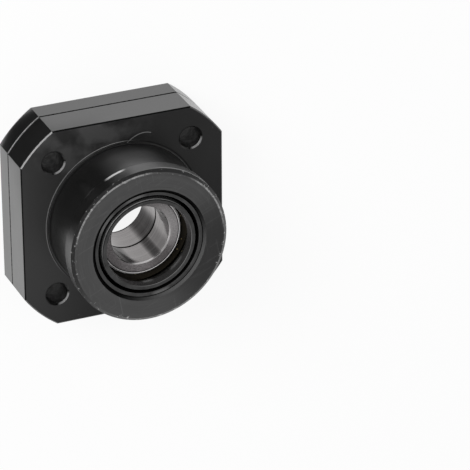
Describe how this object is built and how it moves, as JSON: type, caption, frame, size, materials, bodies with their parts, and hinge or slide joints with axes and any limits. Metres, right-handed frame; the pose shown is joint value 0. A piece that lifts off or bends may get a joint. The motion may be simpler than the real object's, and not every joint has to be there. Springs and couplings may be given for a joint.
{
  "type": "ball screw end support",
  "caption": "Square flange with a round snout that holds a pair of ball bearings for the end of a ball screw, with a lid on the back and a lip seal at the front.",
  "frame": {"origin": "centre of the lid's flat back face, on the bore axis", "axes": "+Z along the bore axis from the lid towards the snout; +X and +Y across the flats of the square flange"},
  "size_m": [0.052, 0.052, 0.032],
  "materials": {
    "blackened_steel": "blackened, satin, with bright worn edges",
    "screw_steel": "black oxide",
    "bearing_steel": "ground and honed",
    "ball_steel": "polished",
    "cage_resin": "machined fabric-reinforced resin",
    "seal_rubber": "moulded nitrile rubber, satin",
    "seal_steel": "pressed sheet steel"
  },
  "bodies": {
    "housing": {"housing": "blackened_steel", "lid": "blackened_steel", "lid_screws": "screw_steel", "seal_rubber": "seal_rubber", "seal_insert": "seal_steel", "front_outer_ring": "bearing_steel", "rear_outer_ring": "bearing_steel"},
    "front_inner": {"front_inner_ring": "bearing_steel"},
    "rear_inner": {"rear_inner_ring": "bearing_steel"},
    "front_cage": {"front_cage": "cage_resin", "front_balls": "ball_steel"},
    "rear_cage": {"rear_cage": "cage_resin", "rear_balls": "ball_steel"}
  },
  "joints": [
    {"name": "front_inner_spin", "type": "hinge", "parent": "housing", "child": "front_inner", "pos_m": [0, 0, 0.0215], "axis": [0, 0, 1], "continuous": true},
    {"name": "rear_inner_spin", "type": "hinge", "parent": "housing", "child": "rear_inner", "pos_m": [0, 0, 0.0125], "axis": [0, 0, 1], "continuous": true},
    {"name": "front_cage_spin", "type": "hinge", "parent": "housing", "child": "front_cage", "pos_m": [0, 0, 0.0215], "axis": [0, 0, 1], "continuous": true},
    {"name": "rear_cage_spin", "type": "hinge", "parent": "housing", "child": "rear_cage", "pos_m": [0, 0, 0.0125], "axis": [0, 0, 1], "continuous": true}
  ],
  "couplings": [
    {"joint": "front_cage_spin", "follows": "front_inner_spin", "ratio": 0.41226},
    {"joint": "rear_cage_spin", "follows": "rear_inner_spin", "ratio": 0.41226}
  ]
}
